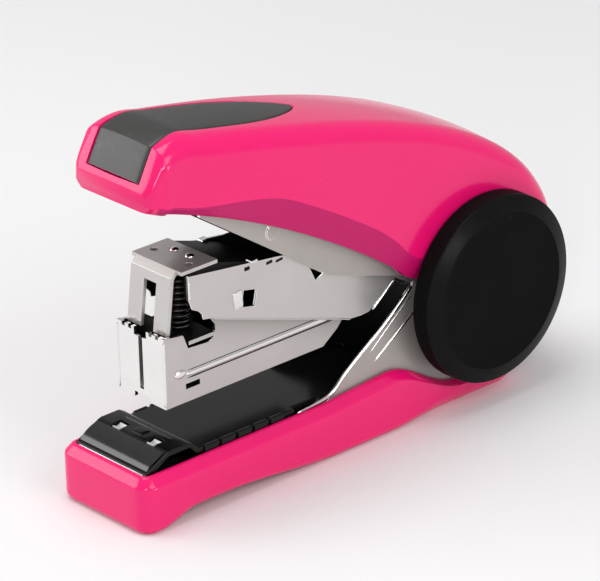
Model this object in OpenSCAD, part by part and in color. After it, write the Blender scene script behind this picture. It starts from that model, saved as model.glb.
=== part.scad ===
// Compact flat-clinch stapler with a geared-down squeeze handle.
// Frame: +X to the back, +Y to the left of someone looking along +X, +Z up, in millimetres.
// The origin is on the ground under the middle of the stapler.

/* [Overall] */
// Length from the front of the base to the back of the handle
overall_len = 100; // [92:1:125]
// Distance from the main axle to the back of the handle
axle_back = 19.7; // [19:0.1:24]
// Height of the main axle above the ground
axle_z = 22.5; // [20:0.5:27]
// Width over the legs of the staple
staple_w = 9.5; // [8:0.1:12]

/* [Clearances] */
// Gap between two sheets that slide past each other
sheet_gap = 0.3; // [0.25:0.05:0.5]
// Radial running clearance of a bore on its pin
run_gap = 0.05; // [0.02:0.01:0.1]
// Room between the staple and the wall of its magazine
staple_gap = 0.75; // [0.4:0.05:1]

/* [Sheet metal] */
// Thickness of the magazine, the rail and the driver blade
thin_t = 0.7; // [0.5:0.05:0.8]
// Thickness of the driver arm
arm_t = 0.6; // [0.5:0.05:0.9]
// Thickness of the handle's channel
channel_t = 0.7; // [0.5:0.05:1]
// Thickness of the base frame
frame_t = 0.8; // [0.6:0.05:1.2]

/* [Base] */
// Height of the rim of the base
base_top = 10.5; // [9.5:0.1:12]
// Rise of the hump in front of the side caps
hump_h = 1.4; // [0:0.1:2]
// Height of the rim under the side caps
tail_top = 4.5; // [4.3:0.1:6]
// Rise of the arch behind the front foot
arch_h = 2; // [0:0.1:2.2]
// Thickness of the side wall of the base
base_wall = 2.1; // [1.5:0.1:3]
// Height of the floor inside the base
floor_z = 3.4; // [3.2:0.1:4]
// Thickness of the rubber foot pads
pad_h = 0.8; // [0.5:0.1:1.2]

/* [Table] */
// Height of the raised front of the table
table_top = 13.4; // [12.5:0.1:14]
// Thickness of the table
table_t = 1.1; // [0.8:0.1:1.5]
// Length of the staple-forming window along the stapler
window_len = 2.8; // [2.4:0.1:3.5]

/* [Magazine] */
// Height of the underside of the magazine
mag_z = 19.2; // [18:0.1:21]
// Height of the magazine's side
mag_h = 13.2; // [12:0.1:15]
// Distance of the magazine from the front of the base
mag_front = 10; // [9:0.5:12]
// Length of the box section of the magazine
mag_len = 36.4; // [32:0.5:44]
// Length of the staple's leg
staple_leg = 4.6; // [4:0.1:5.5]

/* [Driver] */
// Distance of the top of the driver's front plate from the front of the base
head_front = 13; // [12.8:0.1:14]
// Height of the top of the driver's head
head_top = 43.6; // [42:0.1:46]
// Outside radius of the driver's return spring
head_spring_r = 2.6; // [2:0.1:3]

/* [Handle] */
// Height of the handle's front lip
lip_z = 57.8; // [56:0.5:62]
// Height of the handle's nose
nose_z = 70.3; // [68:0.5:76]
// Thickness of the handle's shell
shell_t = 2; // [1.8:0.1:2.4]
// Thickness of the soft grip pad
grip_t = 1.1; // [0.8:0.1:1.2]
// Length of the grip pad from the front of the base
grip_end = 46; // [40:1:52]

/* [Axle and caps] */
// Radius of the main axle
axle_r = 2; // [1.6:0.1:2.4]
// Radius of the round side caps
cap_r = 17.8; // [16.5:0.1:19]
// Thickness of the round side caps
cap_t = 4.6; // [4:0.1:6]
// Width of the bevel around the caps
cap_bevel = 2.8; // [1:0.1:4]
// Radius of the lever's pin
lever_pin_r = 1.2; // [1:0.05:1.5]
// Radius of the press roller
roller_r = 2; // [1.8:0.1:2.2]
// Radius of the roller's pin
roller_pin_r = 1; // [0.8:0.05:1.2]

/* [Hidden] */

$fn = 48;
slice = 0.02;
pink = "#e93579";
black = "#1c1c1c";
steel = "#c9c7c4";

// Places along the stapler: behind the front of the base, and behind the main axle.
axle_x = overall_len / 2 - axle_back;
function fx(d) = d - overall_len / 2;
function ax(d) = axle_x + d;

// Half widths, from the staple out to the side caps.
mag_in = staple_w / 2 + staple_gap;
mag_out = mag_in + thin_t;
arm_in = mag_out + sheet_gap;
arm_out = arm_in + arm_t;
channel_in = arm_out + sheet_gap;
channel_out = channel_in + channel_t;
ear_in = channel_out + sheet_gap;
ear_out = ear_in + frame_t;
well_half = ear_out + 0.4;
base_half = well_half + base_wall;
shell_half = ear_out + 0.7 + shell_t;
cap_in = shell_half + sheet_gap;
cap_out = cap_in + cap_t;
cap_face = 1.8;

function smooth(a, b, x) = let (t = max(0, min(1, (x - a) / (b - a)))) t * t * (3 - 2 * t);
function arc(c, r, a0, a1, n) = [
    for (i = [0:n]) let (a = a0 + (a1 - a0) * i / n) c + r * [cos(a), sin(a)]
];
function bend(p, t) = pow(1 - t, 2) * p[0] + 2 * t * (1 - t) * p[1] + t * t * p[2];
function curve(p, t) =
    pow(1 - t, 3) * p[0] + 3 * pow(1 - t, 2) * t * p[1] + 3 * (1 - t) * t * t * p[2] + pow(t, 3) * p[3];
function bend_points(p, n) = [for (i = [0:n]) bend(p, i / n)];

// A sheet with a side-view outline, from y0 to y0 + t.
module sheet(y0, t) translate([0, y0 + t, 0]) rotate([90, 0, 0]) linear_extrude(t) children();

// The same sheet on the left and on the right.
module both_sheets(y0, t) {
    sheet(y0, t) children();
    sheet(-y0 - t, t) children();
}

module cross_pin(x, z, r, half) translate([x, half, z]) rotate([90, 0, 0]) cylinder(r = r, h = 2 * half);

// Points along a coil: n turns of radius r around Z, rising from z0 to z1.
function helix(r, z0, z1, turns, from = 0) = let (steps = round(turns * 12)) [
    for (i = [0:steps]) let (a = from + 30 * i) [r * cos(a), r * sin(a), z0 + (z1 - z0) * i / steps]
];

// Round wire swept along a path that coils around the Z axis.
module wire(path, r) {
    sides = 6;
    last = len(path) - 1;
    rings = [
        for (i = [0:last]) let (
            along = path[min(i + 1, last)] - path[max(i - 1, 0)],
            out = cross(along, [0, 0, 1]) / norm(cross(along, [0, 0, 1])),
            up = cross(out, along) / norm(along)
        ) [for (k = [0:sides - 1]) path[i] + r * (cos(360 * k / sides) * out + sin(360 * k / sides) * up)]
    ];
    walls = [
        for (i = [0:last - 1]) for (k = [0:sides - 1])
            let (n = (k + 1) % sides, a = i * sides, b = a + sides)
                each [[a + k, b + k, b + n], [a + k, b + n, a + n]]
    ];
    near_cap = [for (k = [0:sides - 1]) k];
    far_cap = [for (k = [0:sides - 1]) last * sides + sides - 1 - k];
    polyhedron([for (ring = rings) for (p = ring) p], concat(walls, [near_cap, far_cap]));
}

// A vertical coil spring of outside radius r between two seats.
module coil(r, wire_r, z0, z1, turns) wire(helix(r - wire_r, z0 + wire_r, z1 - wire_r, turns), wire_r);

// Base ---------------------------------------------------------------------------------------

front_corner = 3;
tail_corner = 4;
base_len = overall_len - axle_back + 10.5;
rim_chamfer = 1.6;
hem_chamfer = 1;
tail_hem = 3.8;
hump_at = base_len - 35;
tail_from = base_len - 33;
tail_to = base_len - 15;

function corner_inset(d, r) = d < r ? r - sqrt(r * r - pow(r - d, 2)) : 0;
function base_half_at(d) = base_half - corner_inset(d, front_corner) - corner_inset(base_len - d, tail_corner);
function base_bottom_at(d) = arch_h * (smooth(4, 12, d) - smooth(18, 46, d));
function tail_share(d) = smooth(tail_from, tail_to, d);
function base_top_at(d) =
    base_top + hump_h * smooth(hump_at - 10, hump_at, d) - (base_top + hump_h - tail_top) * tail_share(d);

module base_slice(d) {
    half = base_half_at(d);
    low = base_bottom_at(d);
    high = base_top_at(d);
    hem = hem_chamfer + (tail_hem - hem_chamfer) * tail_share(d);
    rim = min(rim_chamfer, (high - low - hem) / 2);
    side = [[half - hem, low], [half, low + hem], [half, high - rim], [half - rim, high]];
    mirrored = [for (i = [3:-1:0]) [-side[i][0], side[i][1]]];
    translate([fx(d), 0, 0]) rotate([90, 0, 90]) linear_extrude(slice) polygon(concat(side, mirrored));
}

base_stations = concat(
    [0.05, 0.4, 1.2, 3, 4],
    [for (i = [1:4]) 4 + 2 * i],
    [18, 25, 32, 39],
    [for (i = [0:9]) hump_at - 10 + 3.2 * i],
    [base_len - 12, base_len - 4, base_len - 1.5, base_len - 0.3]
);
screw_front = 9.5;
screw_back = base_len - 8;
screw_r = 1;
screw_head_r = 2;
screw_head_h = 0.8;
screw_gap = 0.2;
front_head_z = 1.7;
back_head_z = 1.2;

// Moulded tray that carries the steel frame; its rim dips under the side caps.
module base_shell() {
    color(pink) difference() {
        for (i = [0:len(base_stations) - 2]) hull() {
            base_slice(base_stations[i]);
            base_slice(base_stations[i + 1]);
        }
        translate([fx(1.8), -well_half, floor_z]) cube([base_len - 3.8, 2 * well_half, base_top + hump_h]);
        screw_hole(screw_front, front_head_z);
        screw_hole(screw_back, back_head_z);
        foot_pocket(front_pad_at, front_pad_len);
        foot_pocket(back_pad_at, back_pad_len);
    }
}

module screw_hole(d, head_z) {
    translate([fx(d), 0, -1]) cylinder(r = screw_r + screw_gap, h = floor_z + 2);
    translate([fx(d), 0, -1]) cylinder(r = screw_head_r + screw_gap, h = head_z + screw_head_h + 1);
}

front_pad_at = 1.6;
front_pad_len = 3.4;
back_pad_at = base_len - 45;
back_pad_len = 24;
pad_half = base_half - 5;

module foot_pocket(d, len) translate([fx(d), -pad_half, -1]) cube([len, 2 * pad_half, pad_h + 1]);

// Two rubber strips let into the underside.
module foot_pads() {
    color(black) {
        translate([fx(front_pad_at), -pad_half, 0]) cube([front_pad_len, 2 * pad_half, pad_h]);
        translate([fx(back_pad_at), -pad_half, 0]) cube([back_pad_len, 2 * pad_half, pad_h]);
    }
}

frame_front = 3;
frame_low = 7.4;
frame_back = 8.2;
ear_ring = 9;
nut_r = 2.2;
nut_h = 2.2;
nut_top = floor_z + frame_t + nut_h;

// Front edge of the ear, a swept curve from the low wall up to the axle.
ear_edge = concat(
    bend_points([[fx(37), frame_low], [ax(-38), base_top - 2.3], [ax(-32.6), 12.8]], 5),
    bend_points([[ax(-31), 14.1], [ax(-22), 20.2], [ax(-14.5), axle_z + 3.6]], 5)
);

function ear_side() = concat(
    [[fx(frame_front), floor_z], [fx(frame_front), frame_low]],
    ear_edge,
    arc([axle_x, axle_z], ear_ring, 120, 20, 8),
    [[ax(frame_back), floor_z + 3], [ax(frame_back), floor_z]]
);

module screw_boss(d) translate([fx(d), 0, floor_z]) cylinder(r = nut_r, h = frame_t + nut_h);

// Pressed steel channel; its ears hold the main axle and the table's pin.
module base_frame() {
    color(steel) difference() {
        union() {
            both_sheets(ear_in, frame_t) polygon(ear_side());
            translate([fx(frame_front), -ear_out, floor_z])
                cube([ax(frame_back) - fx(frame_front), 2 * ear_out, frame_t]);
            screw_boss(screw_back);
        }
        cross_pin(axle_x, axle_z, axle_r + run_gap, ear_out + 1);
        cross_pin(table_pin_x, table_pin_z, table_pin_r, ear_out + 1);
        translate([fx(screw_back), 0, 0]) cylinder(r = screw_r, h = nut_top + 1);
        translate([fx(screw_front), 0, 0]) cylinder(r = screw_r + screw_gap, h = nut_top);
    }
}

module base_screw(d, head_z, tip_z) {
    translate([fx(d), 0, head_z]) difference() {
        union() {
            cylinder(r = screw_head_r, h = screw_head_h);
            cylinder(r = screw_r, h = tip_z - head_z);
        }
        translate([-0.3, -1.2, -1]) cube([0.6, 2.4, 1.4]);
        translate([-1.2, -0.3, -1]) cube([2.4, 0.6, 1.4]);
    }
}

// Two screws from below: one into the clincher, one into the frame.
module base_screws() {
    color(steel) {
        base_screw(screw_front, front_head_z, clinch_top - 2);
        base_screw(screw_back, back_head_z, nut_top);
    }
}

clinch_from = 6.9;
clinch_len = 5.4;
clinch_top = 9.6;
leg_y = staple_w / 2 - 0.2;
anvil_x = 8.4;
anvil_len = 1.9;
anvil_half = 0.9;
window_half = anvil_half + sheet_gap;

// Fixed anvil block with two forming heads that stand in the table's windows.
module clincher() {
    color(steel) difference() {
        union() {
            translate([fx(clinch_from), -mag_out, floor_z + frame_t])
                cube([clinch_len, 2 * mag_out, clinch_top - floor_z - frame_t]);
            for (side = [-1, 1])
                translate([fx(anvil_x - anvil_len / 2), side * leg_y - anvil_half, clinch_top - 1])
                    cube([anvil_len, 2 * anvil_half, table_top - clinch_top + 0.8]);
        }
        translate([fx(screw_front), 0, 0]) cylinder(r = screw_r, h = clinch_top - 2);
        for (side = [-1, 1])
            translate([fx(anvil_x), side * leg_y - anvil_half - 1, table_top + 0.6])
                rotate([-90, 0, 0]) cylinder(r = 1.1, h = 2 * anvil_half + 2);
    }
}

table_pin_r = 1;
table_pin_x = ax(-18.8);
table_pin_z = 8.3;
table_front = 2.3;
table_half = well_half - sheet_gap;
table_neck_half = ear_in - sheet_gap;
table_neck = 36.5;
table_low = 11.7;
table_lug = 2.2;
lug_t = 1.2;

table_section = [
    [fx(table_front), 9.7], [fx(table_front), 10.3], [fx(3), 11], [fx(7.2), table_top - 0.3],
    [fx(8), table_top], [fx(12), table_top], [fx(13.2), table_top - 0.6], [fx(14.2), table_low],
    [table_pin_x, table_low - 0.6], [table_pin_x, table_low - 0.6 - table_t],
    [fx(14), table_low - table_t], [fx(12.4), table_top - table_t], [fx(7.6), table_top - table_t],
    [fx(4), 10.2], [fx(3.2), 9.7],
];

// Black table under the staples; it sinks on its rear pin while the clincher stays.
module table() {
    color(black) difference() {
        union() {
            intersection() {
                sheet(-table_half, 2 * table_half) polygon(table_section);
                union() {
                    translate([fx(0), -table_half, 0]) cube([table_neck, 2 * table_half, 20]);
                    translate([fx(0), -table_neck_half, 0]) cube([overall_len, 2 * table_neck_half, 20]);
                }
            }
            both_sheets(table_neck_half - lug_t, lug_t) polygon([
                [table_pin_x - 12, table_low - 1], [table_pin_x, table_low - 1],
                [table_pin_x + table_lug, table_pin_z], [table_pin_x, table_pin_z - table_lug],
                [table_pin_x - table_lug, table_pin_z - 1],
            ]);
            cross_pin(table_pin_x, table_pin_z, table_lug, table_neck_half);
        }
        cross_pin(table_pin_x, table_pin_z, table_pin_r + run_gap, ear_out);
        cross_pin(table_pin_x, table_pin_z, table_lug + 1, table_neck_half - lug_t);
        for (side = [-1, 1])
            translate([fx(anvil_x - window_len / 2), side * leg_y - window_half, 8])
                cube([window_len, 2 * window_half, 8]);
    }
}

module table_pin() color(steel) cross_pin(table_pin_x, table_pin_z, table_pin_r, ear_out);

table_spring_x = fx(26);
table_spring_top = table_low - table_t - 0.8;

// Spring that lifts the table back up.
module table_spring()
    color(steel) translate([table_spring_x, 0, 0]) coil(3, 0.4, floor_z + frame_t, table_spring_top, 4);

// Axle group --------------------------------------------------------------------------------

module main_axle() color(steel) cross_pin(axle_x, axle_z, axle_r, cap_out - cap_face);

cap_rim = 1.6;
cap_hub = 4;
cap_lip = 1;

// Round cap with a bevelled face, hollow behind, on a hub that fits the end of the axle.
module side_cap(side) {
    color(black) translate([axle_x, 0, axle_z]) rotate([side * -90, 0, 0]) difference() {
        rotate_extrude($fn = 96) polygon([
            [0, ear_out + sheet_gap], [cap_hub, ear_out + sheet_gap], [cap_hub, cap_out - cap_face],
            [cap_r - cap_rim - 1, cap_out - cap_face], [cap_r - cap_rim, cap_out - cap_face - 1],
            [cap_r - cap_rim, cap_in], [cap_r, cap_in], [cap_r, cap_out - cap_lip],
            [cap_r - cap_bevel, cap_out], [0, cap_out],
        ]);
        cylinder(r = axle_r, h = cap_out - cap_face);
    }
}

module side_cap_left() side_cap(1);
module side_cap_right() side_cap(-1);

bracket_in = 3.6;
bracket_t = 0.8;
spacer_r = 2.8;

// Sleeve on the axle that spaces the lever bracket and carries the return spring.
module axle_spacer() {
    color(steel) difference() {
        cross_pin(axle_x, axle_z, spacer_r, bracket_in);
        cross_pin(axle_x, axle_z, axle_r, bracket_in + 1);
    }
}

lever_x = ax(-7.3);
lever_z = axle_z + 10.5;
bracket_ring = 4.6;
bracket_eye = 2.6;

// Two plates on the axle, joined behind, that hold the power lever's pin.
module lever_bracket() {
    color(steel) difference() {
        union() {
            both_sheets(bracket_in, bracket_t) hull() {
                translate([axle_x, axle_z]) circle(r = bracket_ring);
                translate([lever_x, lever_z]) circle(r = bracket_eye);
            }
            translate([axle_x, 0, axle_z]) rotate([0, -45, 0])
                translate([spring_r + spring_wire + sheet_gap, -bracket_in - 0.2, -2])
                    cube([bracket_t, 2 * bracket_in + 0.4, 4]);
        }
        cross_pin(axle_x, axle_z, axle_r, 6);
        cross_pin(lever_x, lever_z, lever_pin_r, 6);
    }
}

module lever_pin() color(steel) cross_pin(lever_x, lever_z, lever_pin_r, bracket_in + bracket_t);

lever_half = 2.1;
lever_eye = 2.7;
roller_x = ax(-28.3);
roller_z = axle_z + 24;
lever_gap = 0.35;

lever_outline = [
    [lever_x + 1, lever_z + 2.5], [ax(-17), axle_z + 18.4],
    [roller_x + 1, roller_z - roller_r - lever_gap], [roller_x - 4, roller_z - roller_r - lever_gap + 0.4],
    [roller_x - 5, roller_z - roller_r - 1.6], [roller_x - 3.6, roller_z - roller_r - 3],
    [ax(-20), axle_z + 14.8], [ax(-15.2), axle_z + 12], [ax(-13.2), axle_z + 11.6],
    [ax(-11), axle_z + 9.8], [lever_x - 1, lever_z - 2.5],
];

// Lever that the roller presses down and whose nose pushes the driver arm's pin.
module power_lever() {
    color(steel) difference() {
        union() {
            sheet(-lever_half, 2 * lever_half) polygon(lever_outline);
            cross_pin(lever_x, lever_z, lever_eye, lever_half);
        }
        cross_pin(lever_x, lever_z, lever_pin_r + run_gap, lever_half + 1);
    }
}

// Handle -------------------------------------------------------------------------------------

lip_x = fx(5);
tip = [ax(-15.3), axle_z + 5.2];
crown_line = [
    [fx(8), nose_z], [fx(35.9), nose_z - 5.3], [overall_len / 2 + 3, axle_z + 33.4],
    [overall_len / 2, axle_z + 1.5]
];
hem_line = [[lip_x, lip_z], [(lip_x + tip[0]) / 2, lip_z - 7.9], tip];
hub_arch = 9;
crown_r = 4;
band_h = 3.6;
band_in = 1.1;
nose_half = shell_half - 1.3;

// Each station is [hem point, crown point, half width], from the lip to the back of the handle.
nose_stations = [
    [[lip_x, lip_z], [lip_x, lip_z + 3.4], nose_half - 1.8],
    [[lip_x + 0.5, lip_z - 0.2], [lip_x + 0.9, lip_z + 5.4], nose_half - 0.7],
    [[lip_x + 3, lip_z - 1.1], [lip_x + 3.4, nose_z - 2.1], nose_half],
];
grip_stations = [
    for (i = [0:9]) let (u = 0.08 + 0.92 * i / 9)
        [bend(hem_line, u), curve(crown_line, 0.025 + 0.465 * u), nose_half + 1.3 * smooth(0, 0.6, u)]
];
back_stations = [
    for (i = [1:8]) let (a = 160 - 155 * i / 8)
        [[ax(hub_arch * cos(a)), axle_z + hub_arch * sin(a)], curve(crown_line, 0.49 + 0.51 * i / 8), shell_half]
];
handle_stations = concat(nose_stations, grip_stations, back_stations);

// Cross-section of the handle at one station, set in by a wall and let down below the hem.
module handle_slice(station, wall, below) {
    rise = station[1] - station[0];
    height = norm(rise) - wall;
    half = station[2] - wall;
    radius = max(0.6, min(crown_r, height * 0.3) - wall / 2);
    band = min(band_h, height * 0.25);
    side = concat(
        [[half - band_in, -below], [half - band_in, 0], [half, band]],
        arc([half - radius, height - radius], radius, 0, 90, 4)
    );
    mirrored = [for (i = [len(side) - 1:-1:0]) [-side[i][0], side[i][1]]];
    translate([station[0][0], 0, station[0][1]]) rotate([0, 90 - atan2(rise[1], rise[0]), 0])
        rotate([90, 0, 90]) linear_extrude(slice) polygon(concat(side, mirrored));
}

// The nose stations move back by the wall, so that the front keeps its thickness too.
function set_back(i, wall) = i < len(nose_stations) ? [wall, -wall * 0.35] : [0, 0];

module handle_form(wall, below) {
    stations = [
        for (i = [0:len(handle_stations) - 1]) let (s = handle_stations[i], move = set_back(i, wall))
            [s[0] + [move[0], 0], s[1] + move, s[2]]
    ];
    for (i = [0:len(stations) - 2]) hull() {
        handle_slice(stations[i], wall, below);
        handle_slice(stations[i + 1], wall, below);
    }
}

grip_half = 6.7;
grip_from = 62.3;
grip_taper = 26;
grip_gap = 0.15;

// Plan of the grip pad: straight sides that close in to a blunt tip.
module grip_plan(gap) {
    steps = 10;
    side = concat(
        [[fx(0), grip_half + gap]],
        [for (i = [0:steps]) let (u = i / steps)
            [fx(grip_taper) + (grip_end + gap - grip_taper) * u, (grip_half + gap) * pow(1 - pow(u, 2.2), 0.75)]]
    );
    mirrored = [for (i = [len(side) - 2:-1:0]) [side[i][0], -side[i][1]]];
    translate([0, 0, grip_from - gap]) linear_extrude(nose_z) polygon(concat(side, mirrored));
}

rib_t = 1.2;

// Glossy moulded shell, open below, with a recess for the grip and ribs that sit on the channel.
module handle_shell() {
    color(pink) {
        difference() {
            handle_form(0, 0);
            handle_form(shell_t, 2);
            difference() {
                grip_plan(grip_gap);
                handle_form(grip_t, 0);
            }
        }
        intersection() {
            handle_form(shell_t - 0.1, 0);
            for (x = [fx(26), fx(42), ax(-22)]) translate([x, -channel_in, web_z_at(x + rib_t)])
                multmatrix([[1, 0, 0, 0], [0, 1, 0, 0], [-web_slope, 0, 1, web_slope * rib_t], [0, 0, 0, 1]])
                    cube([rib_t, 2 * channel_in, 20]);
        }
    }
}

// Soft pad let into the top and front of the handle.
module grip_pad() {
    color("#42413e") intersection() {
        difference() {
            handle_form(0, 0);
            handle_form(grip_t, 1);
        }
        grip_plan(0);
    }
}

web_front = [fx(19), nose_z - 8.3];
web_back = [ax(-14.3), axle_z + 30];
web_slope = (web_front[1] - web_back[1]) / (web_back[0] - web_front[0]);
channel_ring = 6;
hem_bend = [[fx(46.5), axle_z + 11], [ax(-24), axle_z + 7.5], [ax(-15), axle_z + 4.9]];

function web_z_at(x) = web_front[1] - web_slope * (x - web_front[0]);

emboss_r = 1.6;
emboss_h = 0.2;

module cross_emboss(x, z, side) {
    translate([x, side * channel_out, z]) rotate([-side * 90, 0, 0])
        cylinder(r1 = emboss_r, r2 = emboss_r - emboss_h, h = emboss_h);
}

// Steel channel inside the handle: it carries the roller and swings on the axle.
module handle_channel() {
    color(steel) difference() {
        union() {
            both_sheets(channel_in, channel_t) polygon(concat(
                [web_front, [fx(17.4), lip_z - 4.6]], bend_points(hem_bend, 5),
                arc([axle_x, axle_z], channel_ring, 250, 420, 12), [web_back]
            ));
            sheet(-channel_out, 2 * channel_out) polygon([
                web_front, web_back, web_back - [0, channel_t], web_front - [0, channel_t]
            ]);
            for (side = [-1, 1])
                cross_emboss(fx(33.6), lip_z - 12, side);
        }
        cross_pin(axle_x, axle_z, axle_r + run_gap, channel_out + 1);
        cross_pin(roller_x, roller_z, roller_pin_r, channel_out + 1);
    }
}

roller_half = 3;

module press_roller() {
    color(steel) difference() {
        cross_pin(roller_x, roller_z, roller_r, roller_half);
        cross_pin(roller_x, roller_z, roller_pin_r, roller_half + 1);
    }
}

module roller_pin() color(steel) cross_pin(roller_x, roller_z, roller_pin_r, channel_out);

spring_wire = 0.4;
spring_r = 3.5;
spring_half = 2.8;
pin_leg = 20;
pin_leg_turn = 230;
base_leg = axle_z - 4;
base_leg_turn = 170;

// Torsion spring around the spacer; one leg lifts the arm's pin, the other reaches down to the base.
module return_spring() {
    full_turns = 5 + (base_leg_turn - pin_leg_turn) / 360;
    turns = helix(spring_r, -spring_half, spring_half, full_turns, pin_leg_turn);
    first = turns[0] + pin_leg * [sin(pin_leg_turn), -cos(pin_leg_turn), 0];
    last = turns[len(turns) - 1] + base_leg * [-sin(base_leg_turn), cos(base_leg_turn), 0];
    color(steel) translate([axle_x, 0, axle_z]) rotate([90, 0, 0])
        wire(concat([first], turns, [last]), spring_wire);
}

// Driver -------------------------------------------------------------------------------------

arm_ring = 5;
arm_pin_x = ax(-13.8);
arm_pin_z = axle_z + 9.2;
arm_pin_r = 1.2;
arm_tail = [[fx(48.4), mag_z + 4.7], [fx(52.5), mag_z + 3.2], [ax(-23.6), axle_z + 0.3]];

// Two side plates from the axle to the driver's head.
module driver_arm() {
    color(steel) difference() {
        both_sheets(arm_in, arm_t) polygon(concat(
            [[fx(15.2), head_top - 0.9], [fx(15.2), 38.2]],
            bend_points([[fx(15.8), 36.4], [fx(18.4), 35.4], [fx(18.2), 33.8]], 3),
            [[fx(20.3), 33.4]], bend_points(arm_tail, 4), [[ax(-17), axle_z + 4.8]],
            arc([axle_x, axle_z], arm_ring, 240, 450, 12),
            [[ax(-14), axle_z + 11.2], [ax(-28), axle_z + 14.6], [fx(38.9), 39.8]]
        ));
        cross_pin(axle_x, axle_z, axle_r + run_gap, arm_out + 1);
        cross_pin(arm_pin_x, arm_pin_z, arm_pin_r, arm_out + 1);
        translate([fx(27), -arm_out - 1, 33.3]) rotate([0, 12, 0]) cube([3, 2 * arm_out + 2, 3]);
        sheet(-arm_out - 1, arm_out + 1) polygon([[fx(43), 35.6], [fx(45.9), 33.8], [fx(44.2), 33]]);
    }
}

module arm_pin() color(steel) cross_pin(arm_pin_x, arm_pin_z, arm_pin_r, arm_out);

carrier_t = 0.8;
carrier_top = head_top - thin_t;
carrier_from = head_front + thin_t + 1.8;
carrier_bend = 23;
carrier_to = 34;
carrier_drop = 3.4;
flange_z = mag_z + mag_h + 5.6;

// Black plate that ties the two side plates together behind the head.
module driver_carrier() {
    color(black) difference() {
        union() {
            sheet(-arm_in, 2 * arm_in) polygon([
                [fx(carrier_from), carrier_top], [fx(carrier_bend), carrier_top],
                [fx(carrier_to), carrier_top - carrier_drop],
                [fx(carrier_to), carrier_top - carrier_drop - carrier_t],
                [fx(carrier_bend), carrier_top - carrier_t], [fx(carrier_from), carrier_top - carrier_t],
            ]);
            both_sheets(arm_in - carrier_t, carrier_t) polygon([
                [fx(carrier_from), carrier_top], [fx(carrier_bend), carrier_top],
                [fx(carrier_to), carrier_top - carrier_drop], [fx(carrier_to), flange_z],
                [fx(carrier_from), flange_z],
            ]);
        }
        rivet_places() cylinder(r = rivet_r, h = 10, center = true);
    }
}

rivet_r = 0.8;
rivet_x = head_front + 7;
rivet_y = 2.2;
head_half = mag_in - sheet_gap;
head_low = mag_z + mag_h - 0.4;
head_len = 9.4;
head_window_half = 1.6;
head_lean = 1.4;
head_fold = 1.3;
head_fold_z = head_top - 1.2;
head_holes_y = 4.5;
head_hole_r = 0.7;

// Place of the leaning front plate's face at a height.
function head_face(z) = fx(head_front) - head_lean * (head_fold_z - z) / (head_fold_z - head_low);

module rivet_places() for (y = [-rivet_y, rivet_y]) translate([fx(rivet_x), y, carrier_top]) children();

// Folded steel head: a leaning front plate with a window and a top plate riveted to the carrier.
module driver_head() {
    color(steel) difference() {
        union() {
            sheet(-head_half, 2 * head_half) polygon([
                [head_face(head_low), head_low], [head_face(head_fold_z), head_fold_z],
                [fx(head_front + head_fold), head_top], [fx(head_front + head_fold + 1), head_top],
                [fx(head_front + head_fold + 1), carrier_top], [fx(head_front + head_fold + 0.2), carrier_top],
                [head_face(head_fold_z) + thin_t, head_fold_z - 0.4], [head_face(head_low) + thin_t, head_low],
            ]);
            translate([fx(head_front + head_fold), -arm_in, carrier_top])
                cube([head_len - head_fold, 2 * arm_in, thin_t]);
        }
        translate([fx(head_front) - 3, -head_window_half, head_low - 1])
            cube([thin_t + 5, 2 * head_window_half, 9.6]);
        for (y = [-head_holes_y, head_holes_y])
            translate([fx(head_front + 4.6), y, carrier_top - 1]) cylinder(r = head_hole_r, h = 4);
        rivet_places() cylinder(r = rivet_r, h = 10, center = true);
    }
}

module head_rivets() {
    color(steel) rivet_places() {
        translate([0, 0, -carrier_t]) cylinder(r = rivet_r, h = carrier_t + thin_t);
        translate([0, 0, thin_t]) cylinder(r1 = rivet_r + 0.4, r2 = rivet_r, h = 0.4);
    }
}

crown_z = mag_z + thin_t + staple_leg;
blade_x = mag_front + thin_t + 0.9;
blade_half = staple_w / 2;
blade_top = head_low + 1.6;

function blade_face(z) = head_face(z) + thin_t + run_gap;

// Hardened blade behind the head, set forward into the magazine's throat.
module driver_blade() {
    color(steel) sheet(-blade_half, 2 * blade_half) polygon([
        [blade_face(blade_top), blade_top], [blade_face(head_low), head_low],
        [fx(blade_x + 0.2), crown_z + 4], [fx(blade_x), crown_z + 0.8],
        [fx(blade_x + thin_t), crown_z + 0.8], [fx(blade_x + 0.2 + thin_t), crown_z + 4],
        [blade_face(head_low) + thin_t, head_low - 0.2], [blade_face(blade_top) + thin_t, blade_top],
    ]);
}

head_spring_x = fx(18.6);
bridge_z = mag_z + 10.4;

// Spring that lifts the driver off the magazine.
module driver_spring() {
    color(steel) translate([head_spring_x, 0, 0])
        coil(head_spring_r, 0.35, bridge_z + thin_t, carrier_top - carrier_t, 7);
}

// Magazine -----------------------------------------------------------------------------------

mag_back = mag_front + mag_len;
mag_top = mag_z + mag_h;
throat_len = 3.6;
mag_ring = 4.4;
flap_notches = [2.7, 4.4];

mag_side = concat(
    [[fx(mag_front), mag_z], [fx(mag_back), mag_z], [fx(mag_back + 3.4), mag_z + 2.4],
        [fx(mag_back + 5.5), mag_z + 4.7]],
    [[ax(-24), axle_z + 1.6], [ax(-17), axle_z + 5.4]],
    arc([axle_x, axle_z], mag_ring, 250, 450, 12),
    [[ax(-17), axle_z + 6.6], [fx(mag_back + 6), mag_top - 1.6], [fx(20.6), mag_top + 0.6]],
    bend_points([[fx(21.6), mag_top - 0.8], [fx(22), mag_z + 10], [fx(19.8), mag_z + 9.6]], 4),
    [[fx(15.4), mag_z + 9.9], [fx(14.4), mag_top - 0.6], [fx(mag_front), mag_top]]
);

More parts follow.
